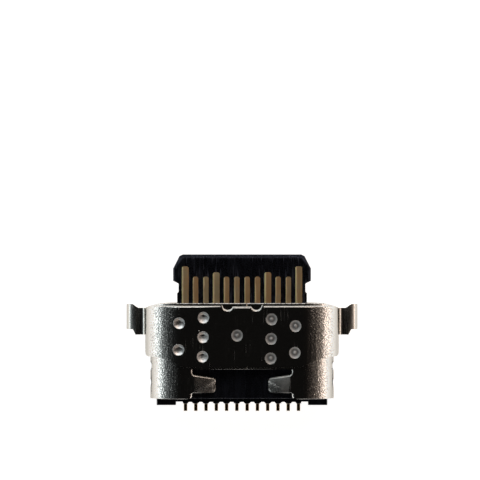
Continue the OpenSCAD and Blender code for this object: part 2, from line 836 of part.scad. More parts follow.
module tongue_blank() intersection() {
    along_z(z_mid - tongue_t / 2, z_mid + tongue_t / 2) tongue_outline();
    along_x(-tongue_w, tongue_w) translate([0, z_mid]) polygon([
        [y_tip, tongue_t / 2 - nose_bevel_d],
        [y_tip, -tongue_t / 2 + nose_bevel_d],
        [y_tip + nose_bevel, -tongue_t / 2],
        [mouth_depth, -tongue_t / 2],
        [mouth_depth, tongue_t / 2],
        [y_tip + nose_bevel, tongue_t / 2]
    ]);
}

module rear_section() {
    intersection() {
        stadium(body_w, body_h);
        translate([-body_w, z_mid]) square([2 * body_w, body_h]);
    }
    translate([-body_w / 2, z_under]) square([body_w, z_mid - z_under]);
}

module housing_blank() {
    along_y(base_setback + ground_plate_t, y_wafer) translate([0, z_mid])
        round_square(tongue_w, base_t - 2 * ground_plate_t, base_r);
    along_y(mouth_depth, y_step) stadium(body_w, body_h);
    along_y(y_step - fit, floor_l + fit) intersection() {
        stadium(body_w, body_h);
        translate([-body_w, z_under]) square([2 * body_w, body_h]);
    }
    along_y(floor_l + fit, y_block) rear_section();
    along_y(y_block - fit, y_feet) intersection() {
        rear_section();
        both_sides() translate([upper_wafer_w / 2, z_mid + foot_rise - body_h])
            square([body_w, body_h]);
    }
}

// Hairlines that run from the contacts to the front edge, on both faces
module grooves() for (i = [1 : ways], s = side_signs)
    translate([contact_x(i), (y_tip + tip_of(i)) / 2, z_mid + s * tongue_t / 2])
        cube([groove_w, tip_of(i) - y_tip, 2 * groove_d], center = true);

module blades() for (i = [1 : ways]) translate([contact_x(i), 0, 0]) {
    along_z(z_upper - contact_t / 2, z_upper + contact_t / 2) blade_outline(i, 0, y_upper_bend);
    along_z(z_lower - contact_t / 2, z_lower + contact_t / 2)
        blade_outline(i, lower_shift * sign(contact_x(i)), y_lower_bend);
}

module shell_pockets() {
    tab_half = floor_tab_w / 2 + fit;
    tab_top = floor_tab_r + shell_t + floor_tab_rise + fit;
    crimp_x = mouth_w / 2 - shell_t - crimp_run;
    both_sides() {
        hook(fit);
        box(crimp_x, shell_w, y_crimp - fit, y_crimp + crimp_w + fit, 0, z_mid - fit);
        translate([0, -fit, 0]) dimple_bump(shell_t + 2 * fit);
    }
    box(-tab_half, tab_half, floor_l - shell_t - 2 * fit, floor_l, 0, tab_top);
}

module tongue() color([0.16, 0.16, 0.18]) difference() {
    tongue_blank();
    mid_plate();
    blades();
    grooves();
}

module housing() color([0.16, 0.16, 0.18]) difference() {
    housing_blank();
    tongue_blank();
    upper_wafer_block();
    lower_wafer_block();
    mid_plate();
    upper_ground_plate();
    lower_ground_plate();
    blades();
    shell_pockets();
}

module placed() translate([0, -y_origin, 0]) children();

placed() inner_shell();
placed() outer_cover();
placed() tongue();
placed() housing();
placed() upper_wafer();
placed() lower_wafer();
placed() mid_plate();
placed() upper_ground_plate();
placed() lower_ground_plate();
for (i = [1 : ways]) {
    placed() upper_contact(i);
    placed() lower_contact(i);
}
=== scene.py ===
"""Finishes, weld beads and studio of a charging port connector, laid out as a Blender add-on."""
import math

import bmesh
import bpy
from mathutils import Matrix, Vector


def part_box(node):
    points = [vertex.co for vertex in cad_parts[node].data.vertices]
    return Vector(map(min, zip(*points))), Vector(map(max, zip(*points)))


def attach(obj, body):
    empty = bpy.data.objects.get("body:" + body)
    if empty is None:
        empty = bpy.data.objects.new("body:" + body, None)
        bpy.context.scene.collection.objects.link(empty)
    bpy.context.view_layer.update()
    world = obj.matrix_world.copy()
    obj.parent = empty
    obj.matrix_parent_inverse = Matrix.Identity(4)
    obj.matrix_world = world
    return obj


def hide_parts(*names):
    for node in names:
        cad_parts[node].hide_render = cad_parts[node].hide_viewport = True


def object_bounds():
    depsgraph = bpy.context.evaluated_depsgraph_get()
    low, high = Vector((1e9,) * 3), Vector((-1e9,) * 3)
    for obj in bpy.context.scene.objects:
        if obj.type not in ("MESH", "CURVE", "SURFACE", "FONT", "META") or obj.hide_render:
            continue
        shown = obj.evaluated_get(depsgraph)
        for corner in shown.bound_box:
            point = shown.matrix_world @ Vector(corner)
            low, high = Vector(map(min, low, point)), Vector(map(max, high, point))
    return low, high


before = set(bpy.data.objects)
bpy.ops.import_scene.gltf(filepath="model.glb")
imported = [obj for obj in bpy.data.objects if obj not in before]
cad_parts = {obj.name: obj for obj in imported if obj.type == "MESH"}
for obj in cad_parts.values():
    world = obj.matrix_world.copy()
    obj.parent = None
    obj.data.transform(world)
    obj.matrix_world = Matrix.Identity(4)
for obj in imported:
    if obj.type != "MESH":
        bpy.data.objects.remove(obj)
cad_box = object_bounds()

bl_info = {
    "name": "Charging port connector",
    "version": (1, 0, 0),
    "blender": (4, 5, 0),
    "location": "View3D > Sidebar > Connector",
    "description": "Dresses the connector's parts and sets up its studio",
    "category": "Object",
}

BODY = "root"
MM = 0.001
WAYS = range(1, 13)

# Merging and shading of the copied parts
NEAR = 0.01 * MM
MERGE = 0.0001 * MM
SLIVER = 0.0005 * MM
FLAT_ANGLE = math.radians(0.5)
CREASE_ANGLE = math.radians(18)
SMOOTH_ANGLE = math.radians(32)

# Broken edges, and the smallest faces that may lose a strip to them
BREAK_ANGLE = math.radians(50)
BREAK_SEGMENTS = 3
SHEET_FACE = 0.012 * MM * MM
MOULDING_FACE = 0.05 * MM * MM
CONTACT_FACE = 0.002 * MM * MM

# The upper rim at the cover's rear end, which stays sharp
REAR_RIM = 0.5
END_LENGTH = 1.3 * MM
END_DROP = 0.45 * MM

# Rolled rims of the sheets: how the faces beside a rim may lean, and the seam that isn't rolled
ROLL_ANGLE = math.radians(60)
ROUND_SEGMENTS = 4
SKIN_LEAN = 0.85
CUT_LEAN = 0.35
REAR_LEAN = 0.8
SEAM_ZONE = 0.35 * MM

# The window in the shell's roof, and its two hooks
WINDOW_SPAN = 2.65 * MM
HOOK_TILT = (0.90, 0.99)
HOOK_AREA = 0.3 * MM * MM

# The tongue's two shoulders
SHOULDER_W = 0.3 * MM
SHOULDER_BACK = 1.0 * MM
SHOULDER_LEAN = 0.8


def length_prop(name, description, default):
    """A length in metres that the sidebar shows with its unit."""
    return bpy.props.FloatProperty(
        name=name, description=description, default=default, subtype="DISTANCE", unit="LENGTH", precision=6
    )


def share_prop(name, description, default):
    """A number from 0 to 1."""
    return bpy.props.FloatProperty(
        name=name, description=description, default=default, min=0.0, max=1.0, subtype="FACTOR"
    )


def level_prop(name, description, default):
    """A light's strength."""
    return bpy.props.FloatProperty(name=name, description=description, default=default, min=0.0)


def angle_prop(name, description, default):
    """An angle in radians that the sidebar shows with its unit."""
    return bpy.props.FloatProperty(name=name, description=description, default=default, unit="ROTATION")


def colour_prop(name, description, default):
    """A linear colour."""
    return bpy.props.FloatVectorProperty(
        name=name, description=description, default=default, min=0.0, max=1.0, size=3, subtype="COLOR"
    )


class ConnectorEdges(bpy.types.PropertyGroup):
    """How far the edges of the parts are broken."""

    sheet: length_prop("Sheet edges", "Broken edges of the folded sheets", 0.018 * MM)
    roll: length_prop("Die roll", "Round upper edge that the press leaves on the sheets", 0.10 * MM)
    window_roll: length_prop("Window roll", "Round upper edge of the window and of its hooks", 0.10 * MM)
    moulding: length_prop("Moulding edges", "Edge radius of the black mouldings", 0.025 * MM)
    shoulder: length_prop("Tongue shoulders", "Edge radius of the tongue's two shoulders", 0.16 * MM)
    contact: length_prop("Contact edges", "Broken edge of the contacts", 0.020 * MM)
    plate: length_prop("Plate edges", "Broken edge of the latch and ground plates", 0.015 * MM)


class ConnectorFinish(bpy.types.PropertyGroup):
    """Colours and gloss of the parts."""

    nickel: colour_prop("Nickel", "Colour of the plated sheet", (0.84, 0.81, 0.76))
    nickel_roughness: share_prop("Nickel roughness", "Roughness of the plated sheet", 0.12)
    weld: colour_prop("Weld", "Colour of the weld beads", (1.0, 0.98, 0.955))
    weld_roughness: share_prop("Weld roughness", "Roughness of the weld beads", 0.30)
    gold: colour_prop("Gold", "Colour of the contacts", (0.73, 0.56, 0.35))
    gold_roughness: share_prop("Gold roughness", "Roughness of the contact faces", 0.66)
    tail_roughness: share_prop("Tail roughness", "Roughness of the solder tails", 0.18)
    plastic: colour_prop("Plastic", "Colour of the mouldings", (0.0050, 0.0052, 0.0066))
    plastic_roughness: share_prop("Plastic roughness", "Roughness of the mouldings", 0.28)


class ConnectorWeld(bpy.types.PropertyGroup):
    """Shape of the weld beads."""

    radius: length_prop("Radius", "Radius of a bead", 0.285 * MM)
    lip: length_prop("Lip", "Height of a bead's rim above the cover", 0.004 * MM)
    pit: length_prop("Pit", "Extra depth in the middle of a bright bead", 0.006 * MM)
    pull: length_prop("Pull", "How far the middle of a bright bead lies to the front", 0.045 * MM)
    spread: angle_prop("Spread", "Most that a bead is turned from its model", math.radians(14))


class ConnectorStudio(bpy.types.PropertyGroup):
    """Floor, light and camera."""

    floor: colour_prop("Floor", "Colour of the floor", (0.90, 0.90, 0.90))
    floor_glow: level_prop("Floor glow", "Light that comes through the floor", 1.0)
    ring: level_prop("Ring light", "Strength of the light round the connector", 1.9)
    ring_decay: angle_prop("Ring decay", "Height over which the ring light fades", 0.204)
    skirt: level_prop("Skirt light", "Strength of the narrow light along the horizon", 2.5)
    skirt_decay: angle_prop("Skirt decay", "Height over which the skirt light fades", 0.07)
    front_shade: share_prop("Front shade", "How much darker the ring is in front of the connector", 0.86)
    back_shade: share_prop("Back shade", "How much darker the ring is behind the connector", 0.99)
    panel: level_prop("Front panel", "Strength of the soft light above the connector's front", 1.75)
    fill: level_prop("Back fill", "Strength of the soft light above the connector's back", 0.38)
    warm: colour_prop("Warm side", "Colour of the ring towards -X", (1.0, 0.84, 0.74))
    cool: colour_prop("Cool side", "Colour of the ring towards +X", (0.85, 0.95, 1.0))
    camera_height: length_prop("Camera height", "Camera above the part's origin", 220 * MM)
    camera_x: length_prop("Camera X", "Place of the camera's axis along the contacts", 0.097 * MM)
    camera_y: length_prop("Camera Y", "Place of the camera's axis along the plug's way", -4.51 * MM)
    camera_lens: bpy.props.FloatProperty(
        name="Lens", description="Focal length", default=337.5, unit="CAMERA"
    )


# Octaves of a noise, and the middle of its values and of a contact's pitch
COARSE = 1.0
MEDIUM = 2.0
FINE = 3.0
MIDDLE = 0.5


class Wire:
    """A node's output. Python's operators on it add Math nodes."""

    def __init__(self, sheet, socket):
        self.sheet = sheet
        self.socket = socket

    def out(self, name):
        """Another output of the same node."""
        return Wire(self.sheet, self.socket.node.outputs[name])

    def __add__(self, other):
        return self.sheet.math("ADD", self, other)

    def __radd__(self, other):
        return self.sheet.math("ADD", other, self)

    def __sub__(self, other):
        return self.sheet.math("SUBTRACT", self, other)

    def __rsub__(self, other):
        return self.sheet.math("SUBTRACT", other, self)

    def __mul__(self, other):
        return self.sheet.math("MULTIPLY", self, other)

    def __rmul__(self, other):
        return self.sheet.math("MULTIPLY", other, self)

    def __truediv__(self, other):
        return self.sheet.math("DIVIDE", self, other)

    def __rtruediv__(self, other):
        return self.sheet.math("DIVIDE", other, self)

    def __neg__(self):
        return self.sheet.math("MULTIPLY", self, -1.0)


class NodeSheet:
    """A node tree whose nodes all come from one method."""

    def __init__(self, tree):
        self.tree = tree
        tree.nodes.clear()

    def node(self, kind, settings=None, inputs=None, output=0):
        """Adds a node, sets its settings, then the values or links of its sockets."""
        made = self.tree.nodes.new("ShaderNode" + kind)
        for name, value in (settings or {}).items():
            setattr(made, name, value)
        for key, value in (inputs or {}).items():
            if isinstance(value, Wire):
                self.tree.links.new(value.socket, made.inputs[key])
            else:
                made.inputs[key].default_value = value
        return Wire(self, made.outputs[output]) if made.outputs else None

    def math(self, operation, *values):
        """A Math node."""
        return self.node("Math", {"operation": operation}, dict(enumerate(values)))

    def step(self, value, ramp, line=0.0):
        """0 before a ramp, 1 after it, and smooth between. The ramp's two ends are measured from a line."""
        ends = {"From Min": line + ramp[0], "From Max": line + ramp[1]}
        return self.node("MapRange", {"interpolation_type": "SMOOTHSTEP"}, {"Value": value, **ends})

    def band(self, value, rise, fall, line=0.0):
        """1 between two ramps and 0 outside them."""
        return self.step(value, rise, line) * (1.0 - self.step(value, fall, line))

    def mix(self, share, first, second):
        """A colour between two colours."""
        return self.node("Mix", {"data_type": "RGBA"}, {0: share, 6: first, 7: second}, 2)

    def place(self):
        """Object coordinates in millimetres."""
        spot = self.node("TexCoord").out("Object")
        return self.node("VectorMath", {"operation": "SCALE"}, {0: spot, "Scale": 1 / MM})

    def stretched(self, place, cell):
        """Coordinates in which one cell, given in millimetres along each axis, is one unit."""
        inputs = {0: place, 1: tuple(1 / length for length in cell)}
        return self.node("VectorMath", {"operation": "MULTIPLY"}, inputs)

    def noise(self, place, cell, detail=MEDIUM):
        """Soft noise from 0 to 1 with cells of a size in millimetres."""
        inputs = {"Vector": self.stretched(place, cell), "Scale": 1.0, "Detail": detail}
        return self.node("TexNoise", inputs=inputs)

    def bump(self, height, depth):
        """A normal from a height between 0 and 1 that stands for a depth in metres."""
        return self.node("Bump", inputs={"Height": height, "Distance": depth, "Strength": 1.0})


def new_material(name):
    """A material and the sheet for its nodes."""
    material = bpy.data.materials.new(name)
    material.use_nodes = True
    return material, NodeSheet(material.node_tree)


def close_material(sheet, inputs):
    """The shader and the material's output."""
    shader = sheet.node("BsdfPrincipled", inputs=inputs)
    sheet.node("OutputMaterial", inputs={"Surface": shader})


def rgba(colour, level=1.0):
    """A colour times a level, for a node's socket."""
    return (*(channel * level for channel in colour), 1.0)


def tinted(colour, shares):
    """A colour whose channels are each times a share of their own, for a node's socket."""
    return rgba(channel * share for channel, share in zip(colour, shares))


def total(base, shares, **layers):
    """A base plus layers, each times its named share."""
    for name, layer in layers.items():
        base = base + layer * shares[name]
    return base


# Nickel plate: noise cells in millimetres along X, Y and Z, and the ramps on them
PLATE_GRAIN = (0.060, 0.060, 0.125)
PLATE_MOTTLE = (0.062, 0.062, 0.125)
PLATE_PEEL = (0.40, 0.40, 0.40)
PLATE_ROLLING = (0.045, 1.60, 0.045)
PLATE_PATCH = (0.9, 1.3, 0.9)
PLATE_SPECK = (0.42, 0.42, 0.42)
STREAK_RAMP = (0.58, 0.74)
SPECK_RAMP = (0.03, 0.07)
RARE_RAMP = (0.80, 0.84)
MOTTLE_RAMP = (0.46, 0.58)

# Nickel plate: zones as ramps in millimetres from the flank, the legs, the cover's end and the hooks' sides
# The flank's band and the legs' ramp mark where painted shade darkens the plate
FLANK_SHADE_RISE = (-0.38, 0.0)
FLANK_SHADE_FALL = (0.0, 0.095)
BEND_RISE = (-1.9, -1.1)
BEND_FALL = (-0.45, -0.15)
EAR_RISE = (0.15, 0.3)
LEG_SHADE_RISE = (-0.30, 0.0)
SCUFF_RISE = (0.2, 0.3)
SCUFF_FALL = (-0.2, 0.0)
HOOK_SPAN = 2.4
HOOK_SIDES = (-0.5, 0.5)

# Nickel plate: shares of its colour, its roughness and its height
PATCH_SHARE = 0.5
PATCH_TONE = 0.80
MOTTLE_TONE = 0.30
# Painted shade: darker, warmer copies of the nickel on the outer flanks and the legs, for the shadowed
# floor that they mirror
FLANK_SHADE_TONE = (0.37, 0.34, 0.29)
LEG_SHADE_TONE = (0.57, 0.55, 0.52)
SCUFF_EXTRA = 0.45
STREAK_SHARES = {"rolling": 0.8, "patch": 0.2}
MOTTLE_SHARES = {"bend": 0.6, "scuff": 0.12}
PLATE_GLOSS = {"grain": 0.12, "streak": 0.22, "speck": 0.35, "scuff": 0.27, "ear": 0.10}
GRAIN_LEAST = 0.25
GRAIN_SHARES = {"bend": 0.75, "scuff": 0.30}
PLATE_RELIEF = {"peel": 0.12, "rolling": 0.08, "speck": 0.35}
PLATE_DEPTH = 0.0185 * MM
INNER_PLATE_EXTRA = 0.08


def nickel_plate(name, colour, roughness, flank_x, cover):
    """Satin nickel on rolled sheet: grain, streaks, specks, painted shade on the outer flanks and the legs,
    and scuffed hooks.
    """
    material, sheet = new_material(name)
    place = sheet.place()
    grain = sheet.noise(place, PLATE_GRAIN, COARSE)
    mottle = sheet.noise(place, PLATE_MOTTLE, COARSE)
    peel = sheet.noise(place, PLATE_PEEL)
    rolling = sheet.noise(place, PLATE_ROLLING, FINE)
    patch = sheet.noise(place, PLATE_PATCH)
    streak = sheet.step(total(0.0, STREAK_SHARES, rolling=rolling, patch=patch), STREAK_RAMP)
    cells = {"Vector": sheet.stretched(place, PLATE_SPECK), "Scale": 1.0}
    cell = sheet.node("TexVoronoi", inputs=cells)
    rare = sheet.node("SeparateColor", inputs={0: cell.out("Color")})
    speck = (1.0 - sheet.step(cell, SPECK_RAMP)) * sheet.step(rare, RARE_RAMP)

    spot = sheet.node("SeparateXYZ", inputs={0: place})
    span = sheet.math("ABSOLUTE", spot.out("X"))
    # Painted shade: a band along the outer flank
    shaded_flank = sheet.band(span, FLANK_SHADE_RISE, FLANK_SHADE_FALL, flank_x)
    bend = sheet.band(span, BEND_RISE, BEND_FALL, flank_x)
    ear = sheet.step(span, EAR_RISE, flank_x)
    # Painted shade: the legs beyond the cover's side
    leg_shade = sheet.step(span, LEG_SHADE_RISE, cover.x / MM)
    scuff = sheet.step(spot.out("Y"), SCUFF_RISE, cover.y / MM)
    scuff = scuff * (1.0 - sheet.step(span, SCUFF_FALL, HOOK_SPAN))
    scuff = scuff * (1.0 + SCUFF_EXTRA - SCUFF_EXTRA * sheet.step(spot.out("X"), HOOK_SIDES))

    tone = sheet.mix(patch * PATCH_SHARE, rgba(colour), rgba(colour, PATCH_TONE))
    mottled = sheet.step(mottle, MOTTLE_RAMP) * total(0.0, MOTTLE_SHARES, bend=bend, scuff=scuff)
    tone = sheet.mix(mottled, tone, rgba(colour, MOTTLE_TONE))
    tone = sheet.mix(shaded_flank, tone, tinted(colour, FLANK_SHADE_TONE))
    tone = sheet.mix(leg_shade, tone, tinted(colour, LEG_SHADE_TONE))
    gloss = total(roughness, PLATE_GLOSS, grain=grain - MIDDLE, streak=streak, speck=speck)
    height = grain * total(GRAIN_LEAST, GRAIN_SHARES, bend=bend, scuff=scuff)
    height = total(height, PLATE_RELIEF, peel=peel, rolling=rolling, speck=speck)
    inputs = {
        "Base Color": tone,
        "Metallic": 1.0,
        "Roughness": total(gloss, PLATE_GLOSS, scuff=scuff * patch, ear=ear),
        "Normal": sheet.bump(height, PLATE_DEPTH),
    }
    close_material(sheet, inputs)
    return material


# Weld metal: noise cells in millimetres, and shares of its colour, its roughness and its height
WELD_GRAIN = (0.04, 0.04, 0.04)
WELD_PATCH = (0.16, 0.16, 0.16)
OXIDE_RAMP = (0.42, 0.66)
OXIDE_TONE = 0.92
WELD_GLOSS = {"grain": 0.3, "patch": 0.2}
WELD_RELIEF = {"grain": 0.6, "patch": 0.4}
WELD_DEPTH = 0.006 * MM

# Each weld finish: its share of the weld's colour, its extra roughness, the ramp in millimetres below the
# cover's top of the painted shade that darkens its hollow, and that shade's share of its colour
WELD_FINISHES = {
    "bright": (1.0, 0.0, (0.062, 0.094), 0.72),
    "satin": (1.0, 0.10, (0.070, 0.100), 0.72),
    # Partly painted shade: the button finishes take less of the weld's colour, partly a greyer weld and
    # partly shade painted in for the beads at -X and in the middle
    "dull": (0.72, 0.30, (0.010, 0.042), 0.46),
    "pale": (0.83, 0.30, (0.010, 0.042), 0.46),
}


def weld_metal(name, weld_colour, weld_roughness, top):
    """Remelted metal in one of the weld finishes: coarse ripples, dull oxide, and painted shade that
    darkens the hollow.
    """
    share, extra, hollow_shade_ramp, hollow_shade_tone = WELD_FINISHES[name]
    colour = tuple(share * channel for channel in weld_colour)
    material, sheet = new_material(name + "_weld")
    place = sheet.place()
    depth = top - sheet.node("SeparateXYZ", inputs={0: place}).out("Z")
    # Painted shade: darker the deeper the bead lies below the cover's top
    painted_hollow_shade = sheet.step(depth, hollow_shade_ramp)
    grain = sheet.noise(place, WELD_GRAIN, FINE)
    patch = sheet.noise(place, WELD_PATCH)
    tone = sheet.mix(sheet.step(patch, OXIDE_RAMP), rgba(colour), rgba(colour, OXIDE_TONE))
    tone = sheet.mix(painted_hollow_shade, tone, rgba(colour, hollow_shade_tone))
    inputs = {
        "Base Color": tone,
        "Metallic": 1.0,
        "Roughness": total(weld_roughness + extra, WELD_GLOSS, grain=grain - MIDDLE, patch=patch - MIDDLE),
        "Normal": sheet.bump(total(0.0, WELD_RELIEF, grain=grain, patch=patch), WELD_DEPTH),
    }
    close_material(sheet, inputs)
    return material


# Contact gold: noise cells and the tail's ramp in millimetres, other ramps, and shares of colour and height
CONTACT_LINE = (0.035, 0.9, 0.035)
CONTACT_GRAIN = (0.05, 0.05, 0.05)
CONTACT_PATCH = (0.25, 0.5, 0.25)
TAIL_RISE = (-0.2, 0.2)
# Painted highlight: the +X side of each blade is lighter, as if lit from that side
PAINTED_HIGHLIGHT_RAMP = (0.11, 0.24)
PAINTED_HIGHLIGHT_WANDER = 0.4
AGED_RAMP = (0.25, 0.75)
AGED_SHARES = {"patch": 0.6, "piece": 0.4}
BROWN_TONE = (0.90, 0.76, 0.63)
GREY_TONE = (0.80, 0.83, 0.82)
PAINTED_HIGHLIGHT_TONE = (1.55, 1.60, 1.55)
LINE_GLOSS = 0.22
CONTACT_RELIEF = {"line": 0.6, "grain": 0.4}
CONTACT_DEPTH = 0.003 * MM


def contact_gold(name, colour, blade_roughness, tail_roughness, tail_y, pitch):
    """Satin gold on the blades, smoother on the tails, with lines and a painted highlight on the +X side of
    each blade.
    """
    material, sheet = new_material(name)
    place = sheet.place()
    spot = sheet.node("SeparateXYZ", inputs={0: place})
    line = sheet.noise(place, CONTACT_LINE, FINE)
    grain = sheet.noise(place, CONTACT_GRAIN)
    patch = sheet.noise(place, CONTACT_PATCH)
    tail = sheet.step(spot.out("Y"), TAIL_RISE, tail_y)
    across = spot.out("X") / pitch
    number = sheet.math("FLOOR", across)
    side = across - number - MIDDLE
    piece = sheet.node("TexWhiteNoise", {"noise_dimensions": "1D"}, {"W": number})
    aged = sheet.step(total(0.0, AGED_SHARES, patch=patch, piece=piece), AGED_RAMP)
    # Painted highlight on the +X side of each blade
    painted_highlight = sheet.step(side + (line - MIDDLE) * PAINTED_HIGHLIGHT_WANDER, PAINTED_HIGHLIGHT_RAMP)
    tone = sheet.mix(aged, tinted(colour, BROWN_TONE), tinted(colour, GREY_TONE))
    tone = sheet.mix(painted_highlight, tone, tinted(colour, PAINTED_HIGHLIGHT_TONE))
    gloss = blade_roughness + (tail_roughness - blade_roughness) * tail
    inputs = {
        "Base Color": tone,
        "Metallic": 1.0,
        "Roughness": gloss + (line - MIDDLE) * LINE_GLOSS,
        "Normal": sheet.bump(total(0.0, CONTACT_RELIEF, line=line, grain=grain), CONTACT_DEPTH),
    }
    close_material(sheet, inputs)
    return material


# Black mouldings: noise cells in millimetres, the ramps on them, and shares of colour, gloss and height
MOULD_SKIN = (0.05, 0.05, 0.05)
MOULD_FLOW = (0.30, 1.20, 0.30)
MOULD_RUB = (0.045, 1.10, 0.045)
FLOW_RAMP = (0.40, 0.70)
RUB_RAMP = (0.57, 0.70)
FLOW_TONE = 1.9
RUB_TONE = 13.0
MOULD_GLOSS = {"skin": 0.2, "flow": 0.15, "rub": 0.2}
MOULD_RELIEF = {"skin": 0.7, "flow": 0.3}
MOULD_DEPTH = 0.0025 * MM
MOULD_SPECULAR = 0.36
MOULD_TINT = (0.66, 0.72, 1.0)
TONGUE_WEAR = 1.0
PLAIN_WEAR = 0.15


def black_moulding(name, colour, roughness, wear):
    """Black moulded plastic with a fine skin, faint flow marks and the lines that plugs rub into it."""
    material, sheet = new_material(name)
    place = sheet.place()
    skin = sheet.noise(place, MOULD_SKIN, FINE)
    flow = sheet.noise(place, MOULD_FLOW, FINE)
    rub = sheet.step(sheet.noise(place, MOULD_RUB, FINE), RUB_RAMP) * wear
    tone = sheet.mix(sheet.step(flow, FLOW_RAMP), rgba(colour), rgba(colour, FLOW_TONE))
    tone = sheet.mix(rub, tone, rgba(colour, RUB_TONE))
    inputs = {
        "Base Color": tone,
        "Roughness": total(roughness, MOULD_GLOSS, skin=skin - MIDDLE, flow=flow - MIDDLE, rub=rub),
        "Specular IOR Level": MOULD_SPECULAR,
        "Specular Tint": rgba(MOULD_TINT),
        "Normal": sheet.bump(total(0.0, MOULD_RELIEF, skin=skin, flow=flow), MOULD_DEPTH),
    }
    close_material(sheet, inputs)
    return material


def only(piece):
    """Selects one object alone."""
    bpy.ops.object.select_all(action="DESELECT")
    piece.select_set(True)
    bpy.context.view_layer.objects.active = piece


def midpoint(edge):
    """The middle of an edge."""
    return (edge.verts[0].co + edge.verts[1].co) / 2


def round_edges(mesh, width, segments, chosen):
    """Bevels the edges that a test chooses, each between two faces."""
    shape = bmesh.from_edit_mesh(mesh)
    bpy.ops.mesh.select_all(action="DESELECT")
    for edge in shape.edges:
        if len(edge.link_faces) == 2:
            edge.select_set(chosen(edge))
    bmesh.update_edit_mesh(mesh)
    bpy.ops.mesh.bevel(
        offset=width,
        offset_type="OFFSET",
        segments=segments,
        profile=0.5,
        affect="EDGES",
        clamp_overlap=False,
    )


def is_broken(least_face):
    """A test for sharp edges between faces large enough to lose a strip. The cover's end stays sharp."""
    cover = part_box("outer_cover")[1]

    def chosen(edge):
        small = min(face.calc_area() for face in edge.link_faces)
        rear = max(face.normal.y for face in edge.link_faces) > REAR_RIM
        at_end = all(-END_LENGTH < corner.co.y - cover.y < NEAR for corner in edge.verts)
        cover_end = rear and at_end and all(corner.co.z > cover.z - END_DROP for corner in edge.verts)
        return edge.calc_face_angle() > BREAK_ANGLE and small > least_face and not cover_end

    return chosen


def in_window(edge, cover_end):
    """Whether an edge lies at the window that the shell's roof has behind the cover's end."""
    spot = midpoint(edge)
    return abs(spot.x) < WINDOW_SPAN and spot.y > cover_end


def join_bends(mesh):
    """Joins the narrow facets of the hooks' bends to the roof, so that its rim can be rolled past them."""
    shape = bmesh.from_edit_mesh(mesh)
    bpy.ops.mesh.select_all(action="DESELECT")
    least, most = HOOK_TILT
    cover_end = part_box("outer_cover")[1].y
    hooks = {
        face for face in shape.faces if least < face.normal.z < most and face.calc_area() > HOOK_AREA
    }
    roots = []
    for edge in shape.edges:
        if len(edge.link_faces) == 2 and all(face.normal.z > least for face in edge.link_faces):
            if hooks.intersection(edge.link_faces):
                roots.append(edge)
            else:
                edge.select_set(in_window(edge, cover_end))
    for edge in roots:
        edge.smooth = False
    bmesh.update_edit_mesh(mesh)
    bpy.ops.mesh.dissolve_edges(use_verts=False)


def is_rolled(window):
    """A test for the upper rims of the folded tubes, in or outside the window, and outside the seam."""
    low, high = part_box("inner_shell")
    middle_z = (low.z + high.z) / 2
    straight = high.x - middle_z
    cover_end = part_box("outer_cover")[1].y

    def chosen(edge):
        spot = midpoint(edge)
        if spot.z < middle_z or edge.calc_face_angle() < ROLL_ANGLE:
            return False
        if in_window(edge, cover_end) != window:
            return False
        aside = math.copysign(max(abs(spot.x) - straight, 0.0), spot.x)
        out = Vector((aside, 0.0, spot.z - middle_z))
        cut, skin = sorted(edge.link_faces, key=lambda face: face.normal.dot(out))
        lean = abs(cut.normal.dot(out.normalized()))
        run = edge.verts[1].co - edge.verts[0].co
        seam = abs(run.y) > abs(run.x) and abs(spot.x) < SEAM_ZONE
        upper = skin.normal.dot(out.normalized()) > SKIN_LEAN and lean < CUT_LEAN
        return upper and cut.normal.y < REAR_LEAN and not seam

    return chosen


def is_shoulder(node):
    """A test for the upper and lower edges of the two shoulders that guide a plug on to the tongue."""
    low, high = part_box(node)
    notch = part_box("inner_shell")[0].y - SHOULDER_BACK
    side = high.x - SHOULDER_W

    def chosen(edge):
        levels = [corner.co.z for corner in edge.verts]
        at_face = min(levels) > high.z - NEAR or max(levels) < low.z + NEAR
        inner = any(abs(corner.co.x) < side or corner.co.y > notch for corner in edge.verts)
        if inner or not at_face:
            return False
        outwards = math.copysign(1.0, edge.verts[0].co.x)
        return max(face.normal.x * outwards for face in edge.link_faces) > SHOULDER_LEAN

    return chosen


def mark_creases(mesh):
    """Marks the edges that are neither smooth nor bevelled as sharp, such as the rims of the dishes."""
    shape = bmesh.from_edit_mesh(mesh)
    bpy.ops.mesh.select_all(action="DESELECT")
    for edge in shape.edges:
        if len(edge.link_faces) == 2:
            edge.select_set(CREASE_ANGLE < edge.calc_face_angle() <= BREAK_ANGLE)
    bmesh.update_edit_mesh(mesh)
    bpy.ops.mesh.mark_sharp()


def clear_slivers(mesh, has_window):
    """Merges the slivers that bevels leave, apart from the hooks', whose corners merging would open."""
    shape = bmesh.from_edit_mesh(mesh)
    cover_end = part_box("outer_cover")[1].y
    bpy.ops.mesh.select_all(action="DESELECT")
    for edge in shape.edges:
        if not (has_window and in_window(edge, cover_end)):
            edge.select_set(True)
    bmesh.update_edit_mesh(mesh)
    bpy.ops.mesh.remove_doubles(threshold=SLIVER)
    bpy.ops.mesh.dissolve_degenerate(threshold=SLIVER)


def dress(piece, material):
    """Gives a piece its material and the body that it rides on."""
    piece.data.materials.clear()
    piece.data.materials.append(material)
    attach(piece, BODY)


